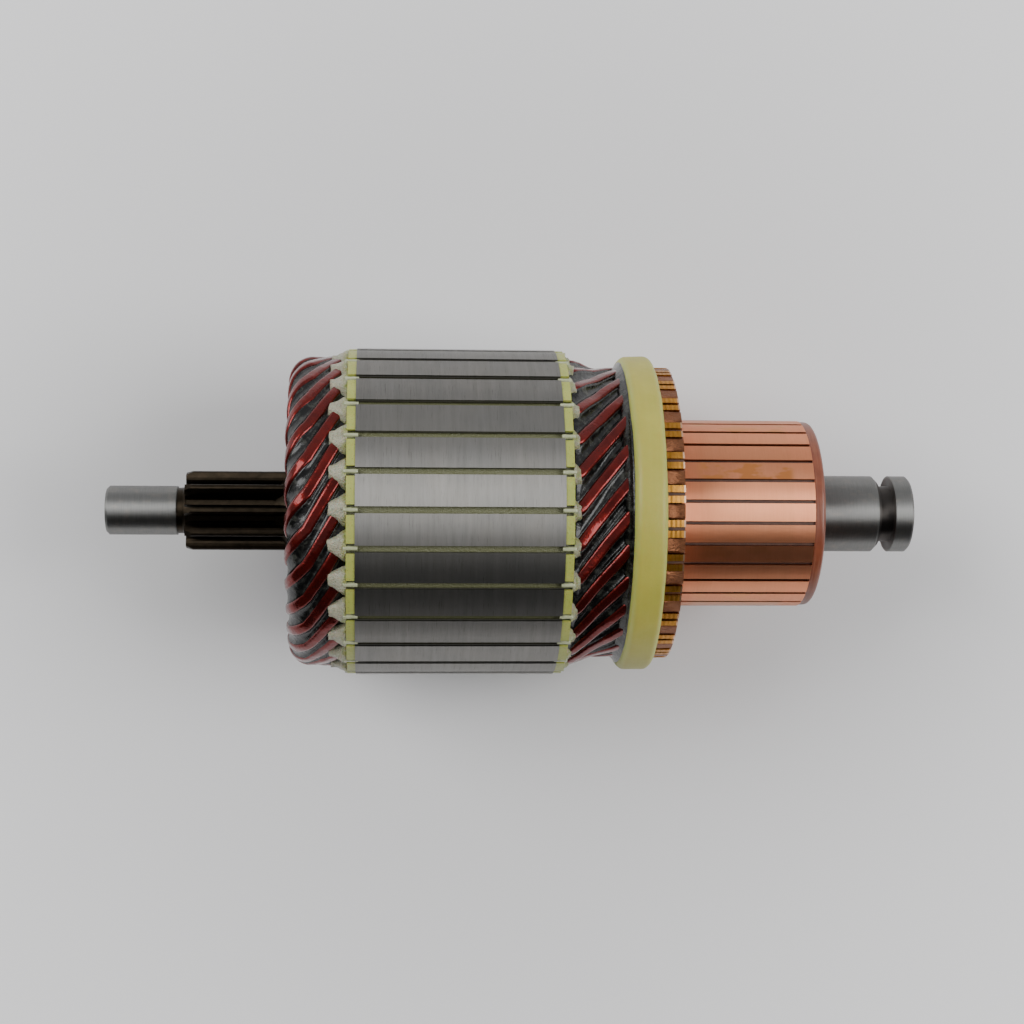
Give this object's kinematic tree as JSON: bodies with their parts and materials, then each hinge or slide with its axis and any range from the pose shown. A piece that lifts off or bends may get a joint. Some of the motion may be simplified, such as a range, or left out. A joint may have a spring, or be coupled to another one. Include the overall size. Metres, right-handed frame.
{
  "type": "motor armature",
  "caption": "Armature of a geared starter motor: slotted steel core with a hairpin bar winding, a barrel commutator with risers, and a shaft with a sun gear and a journal at each end.",
  "frame": {"origin": "on the shaft axis, midway along the drive-end journal", "axes": "+X along the shaft from the drive-end journal to the commutator; +Z through the middle of one core slot and one gear tooth; +Y completes the right-handed set"},
  "size_m": [0.1484, 0.06, 0.06],
  "materials": {
    "ground_steel": "ground journals, blackened gear",
    "core_steel": "turned lamination edges",
    "fibre_ring": "vulcanised fibre soaked in resin",
    "slot_paper": "frayed insulating paper",
    "enamel": "dark red enamel on copper bar",
    "copper": "turned copper, oxidised and varnish-stained",
    "mica": "undercut, dark and dusty",
    "phenolic": "moulded phenolic, turned at the rim",
    "banding_resin": "waxy epoxy over glass banding"
  },
  "bodies": {
    "root": {"shaft": "ground_steel", "core_stack": "core_steel", "drive_end_ring": "fibre_ring", "commutator_end_ring": "fibre_ring", "slot_papers": "slot_paper", "hairpin_01": "enamel", "hairpin_02": "enamel", "hairpin_03": "enamel", "hairpin_04": "enamel", "hairpin_05": "enamel", "hairpin_06": "enamel", "hairpin_07": "enamel", "hairpin_08": "enamel", "hairpin_09": "enamel", "hairpin_10": "enamel", "hairpin_11": "enamel", "hairpin_12": "enamel", "hairpin_13": "enamel", "hairpin_14": "enamel", "hairpin_15": "enamel", "hairpin_16": "enamel", "hairpin_17": "enamel", "hairpin_18": "enamel", "hairpin_19": "enamel", "hairpin_20": "enamel", "hairpin_21": "enamel", "hairpin_22": "enamel", "hairpin_23": "enamel", "hairpin_24": "enamel", "hairpin_25": "enamel", "hairpin_26": "enamel", "hairpin_27": "enamel", "hairpin_28": "enamel", "commutator_bars": "copper", "mica_strips": "mica", "commutator_moulding": "phenolic", "banding_ring": "banding_resin"}
  },
  "joints": []
}
